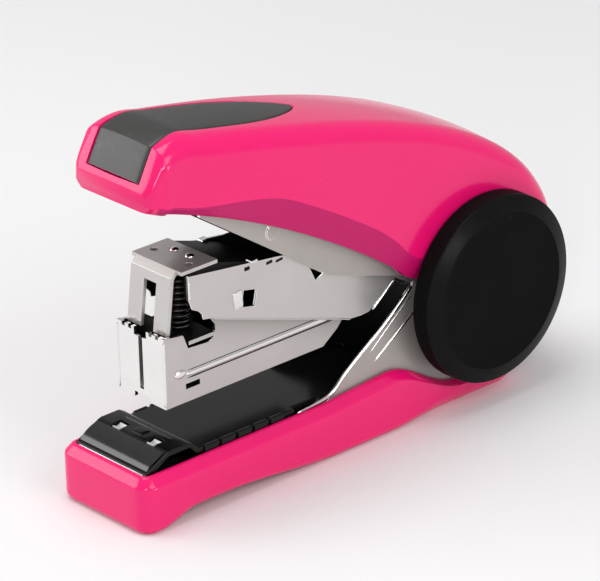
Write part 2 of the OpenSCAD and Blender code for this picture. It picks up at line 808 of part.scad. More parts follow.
// Folded steel magazine: two sides, a floor, front flaps with a slot, and a bridge for the spring.
module magazine() {
    color(steel) difference() {
        union() {
            both_sheets(mag_in, thin_t) polygon(mag_side);
            translate([fx(mag_front), -mag_out, mag_z]) cube([thin_t, 2 * mag_out, mag_h]);
            translate([fx(mag_front + throat_len), -mag_out, mag_z])
                cube([mag_len - throat_len, 2 * mag_out, thin_t]);
            translate([fx(15.6), -mag_out, bridge_z]) cube([6, 2 * mag_out, thin_t]);
        }
        cross_pin(axle_x, axle_z, axle_r + run_gap, mag_out + 1);
        translate([fx(mag_front) - 1, -0.5, mag_z + 2]) cube([thin_t + 2, 1, mag_h - 3]);
        translate([fx(mag_front) - 1, -2, mag_z - 1]) cube([thin_t + 2, 4, 2]);
        translate([fx(mag_front) - 1, -head_window_half, mag_top - 1.4])
            cube([thin_t + 2, 2 * head_window_half, 2]);
        for (side = [-1, 1]) for (y = flap_notches)
            translate([fx(mag_front) - 1, side * y - 0.4, mag_top - 0.6]) cube([thin_t + 2, 0.8, 2]);
        translate([fx(14.6), -mag_out - 1, mag_z + 2.4]) cube([3.2, 2 * mag_out + 2, 1]);
    }
}

rail_half = staple_w / 2 - 0.75;
rail_from = mag_front + throat_len - 0.2;
rail_len = mag_len - 0.9;
rail_z = mag_z + thin_t;
rail_t = 0.6;
slot_half = 0.9;
rod_z = rail_z + 2;
rod_r = 0.6;
finger_half = slot_half - sheet_gap / 2;

// Inverted channel that the staples straddle, slotted along its top for the pusher.
module staple_rail() {
    color(steel) difference() {
        translate([fx(rail_from), -rail_half, rail_z]) cube([rail_len, 2 * rail_half, crown_z - rail_z]);
        translate([fx(rail_from + rail_t), rail_t - rail_half, rail_z - 1])
            cube([rail_len - 2 * rail_t, 2 * (rail_half - rail_t), crown_z - rail_z + 1 - rail_t]);
        translate([fx(rail_from + rail_t), -slot_half, crown_z - 2])
            cube([rail_len - 2 * rail_t, 2 * slot_half, 4]);
        translate([fx(rail_from) - 1, 0, rod_z]) rotate([0, 90, 0]) cylinder(r = rod_r, h = rail_len + 2);
    }
}

module guide_rod() {
    color(steel) translate([fx(rail_from), 0, rod_z]) rotate([0, 90, 0]) cylinder(r = rod_r, h = rail_len);
}

pusher_from = rail_from + rail_t + 0.2;
pusher_len = 4;

// Saddle over the rail with a finger down to the guide rod.
module pusher() {
    color(black) difference() {
        union() {
            translate([fx(pusher_from), -rail_half - 0.2 - rail_t, rail_z + 0.4])
                cube([pusher_len, 2 * (rail_half + 0.2 + rail_t), crown_z - rail_z + 1.2]);
        }
        translate([fx(pusher_from) - 1, -rail_half - 0.2, rail_z - 1])
            cube([pusher_len + 2, 2 * (rail_half + 0.2), crown_z - rail_z + 1.2]);
    }
    color(black) difference() {
        translate([fx(pusher_from), -finger_half, rod_z - 1.2])
            cube([pusher_len, 2 * finger_half, crown_z - rod_z + 2]);
        translate([fx(pusher_from) - 1, 0, rod_z])
            rotate([0, 90, 0]) cylinder(r = rod_r + run_gap, h = pusher_len + 2);
    }
}

// Spring around the guide rod that feeds the pusher forward.
module pusher_spring() {
    color(steel) translate([fx(pusher_from + pusher_len), 0, rod_z]) rotate([0, 90, 0])
        coil(1.5, 0.3, 0, rail_from + rail_len - rail_t - pusher_from - pusher_len, 12);
}

base_shell();
base_frame();
foot_pads();
base_screws();
clincher();
table();
table_pin();
table_spring();
main_axle();
side_cap_left();
side_cap_right();
axle_spacer();
lever_bracket();
lever_pin();
power_lever();
handle_shell();
grip_pad();
handle_channel();
press_roller();
roller_pin();
return_spring();
driver_arm();
driver_carrier();
driver_head();
driver_blade();
head_rivets();
arm_pin();
driver_spring();
magazine();
staple_rail();
guide_rod();
pusher();
pusher_spring();
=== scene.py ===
import math

import bmesh
import bpy
import numpy as np
from mathutils import Matrix, Vector


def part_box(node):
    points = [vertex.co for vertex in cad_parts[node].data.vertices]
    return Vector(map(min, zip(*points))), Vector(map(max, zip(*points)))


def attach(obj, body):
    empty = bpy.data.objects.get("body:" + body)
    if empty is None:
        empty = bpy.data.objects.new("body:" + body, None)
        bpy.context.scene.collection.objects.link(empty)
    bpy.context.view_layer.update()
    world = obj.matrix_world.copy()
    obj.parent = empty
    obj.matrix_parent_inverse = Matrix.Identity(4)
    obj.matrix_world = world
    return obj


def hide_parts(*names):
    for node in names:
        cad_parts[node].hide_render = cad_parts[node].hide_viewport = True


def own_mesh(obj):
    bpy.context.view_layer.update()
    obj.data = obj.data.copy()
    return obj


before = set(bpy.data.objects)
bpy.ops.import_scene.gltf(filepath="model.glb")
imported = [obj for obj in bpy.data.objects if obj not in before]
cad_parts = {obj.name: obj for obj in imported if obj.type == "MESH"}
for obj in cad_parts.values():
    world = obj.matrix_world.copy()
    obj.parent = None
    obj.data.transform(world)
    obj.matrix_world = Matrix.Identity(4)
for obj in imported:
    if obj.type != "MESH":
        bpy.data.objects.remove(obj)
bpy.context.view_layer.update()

# Camera -------------------------------------------------------------------------------------
# A long lens in front of the stapler's right side, looking a little down on it.
view_turn, view_rise, view_roll = (math.radians(a) for a in (41.77, 24.13, -1.43))
view_target = Vector((-0.00319, 0, 0.02792))
view_distance = 0.68284
away = Vector((-math.sin(view_turn) * math.cos(view_rise),
               -math.cos(view_turn) * math.cos(view_rise), math.sin(view_rise)))
level = Vector((math.cos(view_turn), -math.sin(view_turn), 0))
upward = away.cross(level)
frame_right = math.cos(view_roll) * level + math.sin(view_roll) * upward
frame_up = math.cos(view_roll) * upward - math.sin(view_roll) * level
lens = bpy.data.cameras.new("camera")
lens.lens, lens.sensor_width = 232.2, 36
lens.clip_start, lens.clip_end = 0.02, 30
camera = bpy.data.objects.new("camera", lens)
camera.matrix_world = (Matrix.Translation(view_target + view_distance * away)
                       @ Matrix((frame_right, frame_up, away)).transposed().to_4x4())
bpy.context.collection.objects.link(camera)
bpy.context.scene.camera = camera
bpy.context.scene.view_settings.view_transform = "Standard"


# Finishes and the studio floor ---------------------------------------------------------------
# A matt, almost white sheet under the stapler. Every finish below is made with the same two
# classes: one stands for a socket, the other for the material that is being mixed.
class Value:
    """A socket of a finish. Adding to it, taking it away or multiplying it adds a Math node."""

    def __init__(self, finish, socket):
        self.finish, self.socket = finish, socket

    def worked(self, operation, first, second):
        return self.finish.node("ShaderNodeMath", {"operation": operation}, {0: first, 1: second})

    def __add__(self, other):
        return self.worked("ADD", self, other)

    def __radd__(self, other):
        return self.worked("ADD", other, self)

    def __rsub__(self, other):
        return self.worked("SUBTRACT", other, self)

    def __mul__(self, other):
        return self.worked("MULTIPLY", self, other)

    def __rmul__(self, other):
        return self.worked("MULTIPLY", other, self)


class Finish:
    """One material in the making. Every node comes from node(); shade() closes it."""

    def __init__(self, name):
        self.material = bpy.data.materials.new(name)
        self.material.use_nodes = True
        self.tree = self.material.node_tree
        self.tree.nodes.clear()
        self.place = self.node("ShaderNodeTexCoord", output="Object")

    def node(self, kind, settings=None, inputs=None, output=0):
        made = self.tree.nodes.new(kind)
        for key, setting in (settings or {}).items():
            setattr(made, key, setting)
        for key, given in (inputs or {}).items():
            if isinstance(given, Value):
                self.tree.links.new(given.socket, made.inputs[key])
            else:
                made.inputs[key].default_value = given
        return Value(self, made.outputs[output])

    def speckle(self, size, detail=3, stretch=(1, 1, 1)):
        """Soft cloudy noise between 0 and 1; size is its grain in metres, stretched along each axis."""
        spread = self.node("ShaderNodeMapping", None,
                           {"Vector": self.place, "Scale": tuple(1 / (size * s) for s in stretch)})
        return self.node("ShaderNodeTexNoise", None, {"Vector": spread, "Scale": 1, "Detail": detail})

    def band(self, value, low, high):
        """Nothing below low and all above high, with an even climb between them."""
        return self.node("ShaderNodeMapRange", None, {0: value, 1: low, 2: high})

    def blend(self, share, first, second):
        """Colour between the first (share 0) and the second (share 1)."""
        return self.node("ShaderNodeMix", {"data_type": "RGBA"}, {0: share, 6: first, 7: second}, 2)

    def shade(self, grain, grain_height, **inputs):
        """Closes the finish: grain is the height pattern, grain_height its depth in metres."""
        bump = self.node("ShaderNodeBump", None, {"Height": grain, "Distance": grain_height, "Strength": 1})
        named = {key.replace("_", " "): given for key, given in inputs.items()}
        shader = self.node("ShaderNodeBsdfPrincipled", None, {**named, "Normal": bump})
        surface = self.tree.nodes.new("ShaderNodeOutputMaterial").inputs["Surface"]
        self.tree.links.new(shader.socket, surface)
        return self.material


def colour(red, green, blue):
    return red, green, blue, 1


paper = Finish("pale_sheet")
paper_cloud = paper.speckle(0.4)
pale_sheet = paper.shade(
    paper.speckle(0.002), 0.00002, Roughness=0.85,
    Base_Color=paper.blend(paper_cloud, colour(0.80, 0.80, 0.805), colour(0.83, 0.83, 0.835)))


def rounds(rows, columns, around):
    """Faces of a grid of points: each joins a point to the next one along and the next one across."""
    along = np.arange(rows - 1)[:, None] * columns
    across = np.arange(columns if around else columns - 1)[None, :]
    beside = (across + 1) % columns
    return np.stack([along + across, along + beside, along + columns + beside, along + columns + across],
                    -1).reshape(-1, 4).tolist()


def patch(points, around=False, ends=False):
    """A grid of points as (points, faces). The grid may close across; its first and last rows may too."""
    rows, columns = points.shape[:2]
    faces = rounds(rows, columns, around)
    if ends:
        faces += [list(range(columns)), list(range(rows * columns - 1, (rows - 1) * columns - 1, -1))]
    return points.reshape(-1, 3), faces


def put_together(name, patches, finish, crease=35):
    """Joins patches, in millimetres, into one object; shared edges merge and all faces turn outwards."""
    starts = np.cumsum([0] + [len(points) for points, _ in patches])
    mesh = bpy.data.meshes.new(name)
    mesh.from_pydata((np.concatenate([points for points, _ in patches]) * 0.001).tolist(), [],
                     [[start + i for i in face]
                      for start, (_, faces) in zip(starts, patches) for face in faces])
    work = bmesh.new()
    work.from_mesh(mesh)
    bmesh.ops.remove_doubles(work, verts=work.verts, dist=2e-6)
    bmesh.ops.dissolve_degenerate(work, edges=work.edges, dist=1e-7)
    bmesh.ops.recalc_face_normals(work, faces=work.faces)
    work.to_mesh(mesh)
    work.free()
    mesh.shade_smooth()
    mesh.set_sharp_from_angle(angle=math.radians(crease))
    mesh.materials.append(finish)
    made = bpy.data.objects.new(name, mesh)
    bpy.context.collection.objects.link(made)
    return made


def fitted(made, body, slot, *stands_for):
    """The piece moves with its body and may stand for plain nodes; its finish slot is not used."""
    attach(made, body)
    if stands_for:
        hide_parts(*stands_for)
    return made


floor_reach = np.linspace(-2500, 2500, 9)
floor_x, floor_y = np.meshgrid(floor_reach, floor_reach)
floor = put_together("floor", [patch(np.stack([floor_x, floor_y, 0 * floor_x - 0.02], -1))], pale_sheet)
if floor.data.polygons[0].normal.z < 0:
    floor.data.flip_normals()

# Lights -------------------------------------------------------------------------------------
# A dim white room with soft boxes: one above, a broad one off the nose on the left, a slim one
# behind the viewer, and two on the right side, one of them low. All of them face one point.
room = bpy.data.worlds.new("room")
room.use_nodes = True
room.node_tree.nodes["Background"].inputs["Color"].default_value = (1, 1, 1, 1)
room.node_tree.nodes["Background"].inputs["Strength"].default_value = 0.50
bpy.context.scene.world = room
lit_point = Vector((0, 0, 0.03))
for name, place, width, height, power in [
    ("top_box", (-0.08, 0.06, 0.60), 0.36, 0.36, 1.5),
    ("left_box", (-0.46, 0.50, 0.28), 0.45, 0.42, 1.9),
    ("shoulder_box", (-0.62, -0.57, 0.34), 0.07, 0.30, 1.3),
    ("side_box", (0.02, -0.66, 0.52), 0.40, 0.40, 1.7),
    ("low_box", (0.19, -0.76, 0.055), 0.15, 0.10, 0.62),
]:
    facing_away = (Vector(place) - lit_point).to_track_quat("Z", "Y").to_matrix().to_4x4()
    lamp = bpy.data.lights.new(name, "AREA")
    lamp.shape, lamp.size, lamp.size_y, lamp.energy = "RECTANGLE", width, height, power
    box = bpy.data.objects.new(name, lamp)
    box.matrix_world = Matrix.Translation(place) @ facing_away
    bpy.context.collection.objects.link(box)

# Base shell ---------------------------------------------------------------------------------
# Tray moulded in glossy pink plastic. Its rim is chamfered, it stands on its front foot and on its
# long rear half, and it dips and curls in under the round caps.
pink = Finish("gloss_pink")
pink_cloud = pink.speckle(0.011)
pink_scuff = pink.band(pink.speckle(0.0012, 6, (4, 1, 0.5)), 0.62, 0.72)
gloss_pink = pink.shade(
    pink.speckle(0.0009, 2) + 0.4 * pink_scuff, 0.0000012,
    Base_Color=pink.blend(pink_cloud, colour(0.790, 0.004, 0.140), colour(0.820, 0.006, 0.152)),
    Roughness=0.16 + 0.06 * pink_cloud + 0.10 * pink_scuff, Coat_Weight=0.22 - 0.15 * pink_scuff,
    Coat_Roughness=0.05, Specular_IOR_Level=0.32)

half_length, axle_x, axle_z = 50, 30.3, 22.5
base_length, base_half, base_rim, base_wall = 90.8, 11.7, 10.5, 2.1
base_floor, panel_rise = 3.4, 1.9


def eased(low, high, x):
    """Nothing before low, one after high, and 3t² - 2t³ between them."""
    t = np.clip((x - low) / (high - low), 0, 1)
    return t * t * (3 - 2 * t)


def tray_outline(inset):
    """Rounded rectangle in plan, drawn in by inset: two long sides, two ends and four quarter circles."""
    half = base_half - inset
    near, far = inset, base_length - inset
    tight, wide = max(3.0 - inset, 0), max(4.0 - inset, 0)
    side = np.linspace(0, 1, 90)
    quarter = np.linspace(0, math.pi / 2, 9)[1:-1]
    end = np.linspace(-1, 1, 9)
    right = np.stack([far - wide - (far - near - wide - tight) * side, 0 * side - half], -1)
    front_right = np.stack([near + tight - tight * np.sin(quarter),
                            tight - half - tight * np.cos(quarter)], -1)
    front = np.stack([0 * end + near, end * (half - tight)], -1)
    back = np.stack([0 * end + far, -end * (half - wide)], -1)
    back_left = np.stack([far - wide + wide * np.sin(quarter), half - wide + wide * np.cos(quarter)], -1)
    mirror = np.array([1, -1])
    return np.concatenate([right, front_right, front, front_right[::-1] * mirror, right[::-1] * mirror,
                           back_left, back, back_left[::-1] * mirror])


def tray_ring(inset, height):
    """One closed line round the tray: the outline at an inset, and a height for each place along it."""
    plan = tray_outline(inset)
    d = plan[:, 0]
    arch = 2.0 * (eased(4, 12, d) - eased(18, 46, d))
    tail = eased(base_length - 33, base_length - 15, d)
    rim = base_rim + 1.4 * np.clip((d - base_length + 47) / 20, 0, 1) - 7.4 * tail
    return np.stack([d - half_length, plan[:, 1], height(arch, rim, tail)], -1)


rim_width = 1.7
tray_levels = [
    (base_half, lambda low, rim, tail: np.minimum(low + panel_rise, 2.6)),
    (2.6, lambda low, rim, tail: np.minimum(low + panel_rise, 2.6)),
    (2.4, lambda low, rim, tail: low + 0.15),
    (2.2, lambda low, rim, tail: low),
    (1.3, lambda low, rim, tail: low + 0.9 * tail),
    (0.95, lambda low, rim, tail: low + 0.10 + 1.3 * tail),
    (0.45, lambda low, rim, tail: low + 0.42 + 1.9 * tail),
    (0.10, lambda low, rim, tail: low + 0.95 + 2.4 * tail),
    (0.0, lambda low, rim, tail: np.minimum(low + 1.5 + 2.2 * tail,
                                            rim - rim_width * (1 - 0.6 * tail) - 0.3)),
    (0.0, lambda low, rim, tail: rim - (rim_width + 0.35) * (1 - 0.6 * tail)),
    (0.05, lambda low, rim, tail: rim - (rim_width - 0.05) * (1 - 0.6 * tail)),
    (0.35, lambda low, rim, tail: rim - (rim_width - 0.45) * (1 - 0.6 * tail)),
    (1.15, lambda low, rim, tail: rim - 0.38 * (1 - 0.6 * tail)),
    (1.40, lambda low, rim, tail: rim - 0.14 * (1 - 0.6 * tail)),
    (1.60, lambda low, rim, tail: rim - 0.04),
    (1.80, lambda low, rim, tail: rim),
    (base_wall - 0.08, lambda low, rim, tail: rim),
    (base_wall, lambda low, rim, tail: rim - 0.12),
    (base_wall, lambda low, rim, tail: 0 * rim + base_floor),
    (base_half, lambda low, rim, tail: 0 * rim + base_floor),
]
tray = np.stack([tray_ring(inset, height) for inset, height in tray_levels])
fitted(put_together("base_tray", [patch(tray, around=True)], gloss_pink, 40),
       "base", "pink_plastic", "base_shell")

# Foot pads ----------------------------------------------------------------------------------
# Two strips of black rubber with rolled edges, pressed into the underside of the tray.
rubber = Finish("foot_rubber")
rubber_grain = rubber.speckle(0.00035, 4)
foot_rubber = rubber.shade(
    rubber_grain, 0.00004, Roughness=0.7 + 0.2 * rubber_grain,
    Base_Color=rubber.blend(rubber.speckle(0.004), colour(0.02, 0.02, 0.02), colour(0.045, 0.044, 0.042)))


def pillow(near, far, half, low, high, roll):
    """Rounded slab: super-ellipse rings that shrink towards the top and bottom by a quarter circle."""
    turn = np.linspace(0, 2 * math.pi, 65)[:-1]
    bulge = np.array([-1, -1, -0.92, -0.7, -0.38, 0, 0.38, 0.7, 0.92, 1, 1])
    draw = roll * (1 - np.sqrt(np.clip(1 - bulge ** 2, 0, 1)))
    draw[[0, -1]] = half
    corner = 0.16
    edge_x = np.sign(np.cos(turn)) * np.abs(np.cos(turn)) ** corner
    edge_y = np.sign(np.sin(turn)) * np.abs(np.sin(turn)) ** corner
    x = (near + far) / 2 + edge_x * np.maximum((far - near) / 2 - draw[:, None], 0)
    y = edge_y * np.maximum(half - draw[:, None], 0)
    z = (low + high) / 2 + bulge[:, None] * (high - low) / 2 + 0 * x
    return np.stack([x, y, z], -1)


strip_half, strip_height = 6.7, 2.2
strips = [patch(pillow(near - half_length, far - half_length, strip_half, 0, strip_height, 0.4), around=True)
          for near, far in ((1.9, 5.0), (base_length - 45, base_length - 21))]
fitted(put_together("foot_strips", strips, foot_rubber, 60), "base", "foot_rubber", "foot_pads")

# The frame, the magazine, the arm and the channel are punched and folded from thin steel, then
# nickel plated: the faces are satin and the cut edges are rolled and shine. Their inner faces
# carry painted shade, the near-black finish. Pins, screws and rods are turned bright, and the
# clincher is ground.
steel = Finish("plated_steel")
steel_cloud = steel.speckle(0.009)
steel_line = steel.speckle(0.00022, 3, (12, 1, 1))
steel_smear = steel.band(steel.speckle(0.005, 4, (1.5, 1, 1)), 0.55, 0.75)
plated_steel = steel.shade(
    0.5 * steel_line + steel.speckle(0.004, 2), 0.0000018, Metallic=0.68,
    Base_Color=steel.blend(steel_cloud, colour(0.52, 0.495, 0.48), colour(0.59, 0.565, 0.55)),
    Roughness=0.22 + 0.10 * steel_cloud + 0.06 * steel_line + 0.08 * steel_smear)

# Darker and duller, for the base's frame and the handle's channel.
brushed = Finish("brushed_steel")
brushed_cloud = brushed.speckle(0.008)
brushed_line = brushed.speckle(0.00025, 3, (9, 1, 1))
brushed_steel = brushed.shade(
    0.6 * brushed_line + brushed.speckle(0.004, 2), 0.0000025, Metallic=0.40,
    Base_Color=brushed.blend(brushed_cloud, colour(0.37, 0.345, 0.325), colour(0.43, 0.405, 0.385)),
    Roughness=0.36 + 0.10 * brushed_cloud + 0.06 * brushed_line)

# Satin too, with a painted shadow of the arm: darker above a line that slopes down to the rear, where the arm
# lies over it.
magazine_shaded = Finish("magazine_steel")
magazine_cloud = magazine_shaded.speckle(0.009)
magazine_line = magazine_shaded.speckle(0.00022, 3, (12, 1, 1))
magazine_x = magazine_shaded.node("ShaderNodeSeparateXYZ", None, {0: magazine_shaded.place})
magazine_z = magazine_shaded.node("ShaderNodeSeparateXYZ", None, {0: magazine_shaded.place}, 2)
arm_slope = 0.327
painted_arm_shadow = magazine_shaded.band(magazine_z + arm_slope * magazine_x, 0.0165, 0.0238)
magazine_steel = magazine_shaded.shade(
    0.5 * magazine_line + magazine_shaded.speckle(0.004, 2), 0.0000018, Metallic=0.78,
    Base_Color=magazine_shaded.blend(
        painted_arm_shadow * painted_arm_shadow,
        magazine_shaded.blend(magazine_cloud, colour(0.50, 0.475, 0.46), colour(0.57, 0.545, 0.53)),
        colour(0.33, 0.31, 0.295)),
    Roughness=0.24 + 0.10 * magazine_cloud + 0.06 * magazine_line)

bright = Finish("bright_steel")
bright_cloud = bright.speckle(0.003)
bright_steel = bright.shade(
    bright.speckle(0.0004, 4), 0.000002, Metallic=1.0,
    Base_Color=bright.blend(bright_cloud, colour(0.78, 0.77, 0.76), colour(0.86, 0.85, 0.84)),
    Roughness=0.10 + 0.10 * bright_cloud)

# Pale and only half shiny, for the clincher.
ground = Finish("ground_steel")
ground_cloud = ground.speckle(0.0015)
ground_steel = ground.shade(
    ground.speckle(0.0003, 3), 0.000002, Metallic=0.45, Roughness=0.38 + 0.1 * ground_cloud,
    Base_Color=ground.blend(ground_cloud, colour(0.70, 0.69, 0.68), colour(0.80, 0.79, 0.78)))

# Almost black, for inner parts, and as painted shade on faces that lie in the shade inside.
dark = Finish("dark_steel")
dark_cloud = dark.speckle(0.002)
dark_steel = dark.shade(
    dark.speckle(0.0005, 4), 0.000006,
    Base_Color=dark.blend(dark_cloud, colour(0.003, 0.003, 0.003), colour(0.008, 0.008, 0.0075)),
    Roughness=0.34 + 0.15 * dark_cloud, Specular_IOR_Level=0.12)


def faces_of(mesh):
    """Middle, in millimetres, and normal of every face."""
    middle, facing = np.empty(len(mesh.polygons) * 3), np.empty(len(mesh.polygons) * 3)
    mesh.polygons.foreach_get("center", middle)
    mesh.polygons.foreach_get("normal", facing)
    return middle.reshape(-1, 3) * 1000, facing.reshape(-1, 3)


def rolled_copy(node, name, body, slot, finish, edge, cut_edges=False, painted_shade_where=None):
    """A punched part with its edges rolled: the node's triangles joined, its flat facets merged,
    and a narrow bevel run along every edge. The cut edges of a side plate may shine, and the faces
    that painted_shade_where picks get the near-black finish as painted shade."""
    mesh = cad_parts[node].data.copy()
    mesh.name = name
    work = bmesh.new()
    work.from_mesh(mesh)
    bmesh.ops.remove_doubles(work, verts=work.verts, dist=2e-6)
    bmesh.ops.dissolve_limit(work, angle_limit=math.radians(1.5), verts=work.verts, edges=work.edges)
    work.to_mesh(mesh)
    work.free()
    mesh.shade_smooth()
    mesh.materials.clear()
    for laid in (finish, bright_steel, dark_steel):
        mesh.materials.append(laid)
    middle, facing = faces_of(mesh)
    laid_on = np.zeros(len(middle), np.int32)
    if cut_edges:
        laid_on[np.abs(facing[:, 1]) < 0.3] = 1
    if painted_shade_where:
        laid_on[painted_shade_where(middle, facing)] = 2
    mesh.polygons.foreach_set("material_index", laid_on)
    made = bpy.data.objects.new(name, mesh)
    bpy.context.collection.objects.link(made)
    roll = made.modifiers.new("rolled edges", "BEVEL")
    roll.width, roll.segments = edge * 0.001, 2
    roll.limit_method, roll.angle_limit = "ANGLE", math.radians(30)
    roll.use_clamp_overlap = True
    roll.material = 1 if cut_edges else -1
    made.modifiers.new("even shading", "WEIGHTED_NORMAL")
    return fitted(made, body, slot, node)


def inward(middle, facing):
    return middle[:, 1] * facing[:, 1] < -1


def inward_or_floor(middle, facing):
    return inward(middle, facing) | ((middle[:, 2] < 7) & (facing[:, 2] > 0.5))


def inward_or_low(middle, facing):
    inside = (np.abs(middle[:, 1]) < 5.3) & (middle[:, 0] > -38) & (middle[:, 2] < 31)
    return inward(middle, facing) | inside


def inward_or_web(middle, facing):
    return inward(middle, facing) | (facing[:, 2] < -0.9)


def below_windows(middle, facing):
    return middle[:, 2] < 10.8


# Each test picks faces that get the near-black finish as painted shade: inner faces, the frame's floor, the
# inside of the magazine and the underside of the channel's web.
for node, name, body, finish, edge, painted_shade_where in (
        ("base_frame", "frame_channel", "base", brushed_steel, 0.16, inward_or_floor),
        ("magazine", "magazine_box", "magazine", magazine_steel, 0.14, inward_or_low),
        ("handle_channel", "channel_plates", "handle", brushed_steel, 0.14, inward_or_web),
        ("driver_arm", "arm_plates", "driver", plated_steel, 0.14, inward)):
    rolled_copy(node, name, body, "plated_steel", finish, edge, cut_edges=True, painted_shade_where=painted_shade_where)
for node, name, body, edge in (("lever_bracket", "bracket_plates", "axle_group", 0.12),
                               ("axle_spacer", "spacer_sleeve", "axle_group", 0.15),
                               ("driver_head", "head_plate", "driver", 0.16)):
    rolled_copy(node, name, body, "plated_steel", plated_steel, edge)
for node, name, body, edge in (("driver_carrier", "carrier_plate", "driver", 0.12),
                               ("staple_rail", "rail_channel", "magazine", 0.1),
                               ("power_lever", "lever_block", "lever", 0.25),
                               ("pusher", "pusher_saddle", "pusher", 0.12)):
    rolled_copy(node, name, body, "dark_steel", dark_steel, edge)
# The clincher's faces below the windows get the near-black finish as painted shade, where they lie under the
# bed.
rolled_copy("clincher", "clincher_block", "base", "bright_steel", ground_steel, 0.2,
            painted_shade_where=below_windows)
rolled_copy("driver_blade", "driver_blade_turned", "driver", "bright_steel", dark_steel, 0.06)
for node, body, edge in (("base_screws", "base", 0.12), ("press_roller", "handle", 0.2),
                         ("main_axle", "axle_group", 0.15), ("table_pin", "base", 0.15),
                         ("lever_pin", "axle_group", 0.15), ("roller_pin", "handle", 0.15),
                         ("arm_pin", "driver", 0.15), ("guide_rod", "magazine", 0.12)):
    rolled_copy(node, node + "_turned", body, "bright_steel", bright_steel, edge)

# Table --------------------------------------------------------------------------------------
# Glossy black bed under the staples: a raised nose with two windows for the forming heads, a
# polished lip along its front edge, and small rests along both sides.
table_gloss = Finish("table_black")
table_cloud = table_gloss.speckle(0.006)
black_table = table_gloss.shade(
    table_gloss.speckle(0.0008, 3), 0.0000012,
    Base_Color=table_gloss.blend(table_cloud, colour(0.003, 0.003, 0.003), colour(0.007, 0.0065, 0.006)),
    Roughness=0.12 + 0.10 * table_cloud, Specular_IOR_Level=0.2)
rolled_copy("table", "table_bed", "table", "black_table", black_table, 0.18)


def rod(start, end, radius):
    """Round bar with domed ends: circles on a straight line, drawn in at both ends by a quarter circle."""
    start, end = np.array(start, float), np.array(end, float)
    axis = (end - start) / np.linalg.norm(end - start)
    out = np.cross(axis, [0.0, 1.0, 0.0] if abs(axis[1]) < 0.9 else [1.0, 0.0, 0.0])
    out /= np.linalg.norm(out)
    over = np.cross(axis, out)
    dome = np.linspace(0, math.pi / 2, 5)
    ring = radius * np.concatenate([np.sin(dome), np.sin(dome[::-1])])
    along = np.concatenate([-radius * np.cos(dome),
                            np.linalg.norm(end - start) + radius * np.cos(dome[::-1])])
    along += np.concatenate([0 * dome + radius, 0 * dome - radius])
    turn = np.linspace(0, 2 * math.pi, 17)[:-1, None]
    circle = np.cos(turn) * out + np.sin(turn) * over
    return start + along[:, None, None] * axis + ring[:, None, None] * circle


# A smoother black for the front edge of the bed and its bead.
polish = Finish("polished_black")
polish_cloud = polish.speckle(0.004)
polished_black = polish.shade(
    polish.speckle(0.0008, 3), 0.000001, Roughness=0.10 + 0.08 * polish_cloud, Specular_IOR_Level=0.7,
    Base_Color=polish.blend(polish_cloud, colour(0.003, 0.003, 0.003), colour(0.006, 0.0055, 0.005)))
bow = np.linspace(0, 1, 15)[:, None]
bow_line = ((1 - bow) ** 2 * np.array([-47.5, 10.15]) + 2 * bow * (1 - bow) * np.array([-46.6, 12.35])
            + bow ** 2 * np.array([-43.0, 13.2]))
bow_across = np.linspace(-8.85, 8.85, 9)[None, :]
bow_skin = [np.stack([bow_line[:, :1] + drop + 0 * bow_across, bow_across + 0 * bow,
                      bow_line[:, 1:] - drop + 0 * bow_across], -1) for drop in (0, 0.25)]
bow_loop = [np.concatenate([skin[0], skin[1:, -1], skin[-1, -2::-1], skin[-2:0:-1, 0]])
            for skin in bow_skin]
bow_patches = [patch(skin) for skin in bow_skin] + [patch(np.stack(bow_loop), around=True)]
fitted(put_together("table_front", bow_patches, polished_black, 50), "table", "black_table")
lip = [patch(rod((-47.6, -8.5, 10.2), (-47.6, 8.5, 10.2), 0.2), around=True),
       patch(rod((-47.68, -8.5, 9.72), (-47.68, 8.5, 9.72), 0.13), around=True)]
fitted(put_together("table_lip", lip, bright_steel, 60), "table", "bright_steel")
bead = [patch(rod((-38.9, -6.2, 13.3), (-38.9, 6.2, 13.3), 0.2), around=True)]
fitted(put_together("table_bead", bead, polished_black, 60), "table", "black_table")
rest_length, rest_side = 3.1, 9.35
rests = [patch(pillow(d - half_length, d - half_length + rest_length, 0.35, 10.3, 11.75, 0.12)
               + np.array([0, side * rest_side, 0]), around=True)
         for side in (-1, 1) for d in (15.5, 19.3, 23.1, 26.9, 30.7)]
dimple = [patch(pillow(-41.9, -39.6, 1.5, 13.0, 13.62, 0.5), around=True)]
fitted(put_together("table_rests", rests + dimple, black_table, 60), "table", "black_table")

# Springs ------------------------------------------------------------------------------------
# Round spring wire: three straight coils, and the torsion spring on the axle with its two legs.
# The wire's near-black colour is painted shade: the driver's coil sits in shade between the head and the arm,
# and the other springs share its colour.
wire = Finish("spring_wire")
wire_cloud = wire.speckle(0.0008)
spring_wire = wire.shade(
    wire.speckle(0.0002, 3), 0.000002, Metallic=1.0,
    Base_Color=wire.blend(wire_cloud, colour(0.03, 0.028, 0.026), colour(0.11, 0.105, 0.10)),
    Roughness=0.28 + 0.15 * wire_cloud)


def swept_wire(path, radius, sides=10):
    """Circle carried along a path: at each point it lies across the path, on two directions square to it."""
    step = np.gradient(path, axis=0)
    step /= np.linalg.norm(step, axis=1, keepdims=True)
    out = np.cross(step, np.array([0.0, 0.0, 1.0]))
    out /= np.linalg.norm(out, axis=1, keepdims=True)
    over = np.cross(out, step)
    turn = np.linspace(0, 2 * math.pi, sides + 1)[:-1, None]
    return path[:, None] + radius * (np.cos(turn) * out[:, None] + np.sin(turn) * over[:, None])


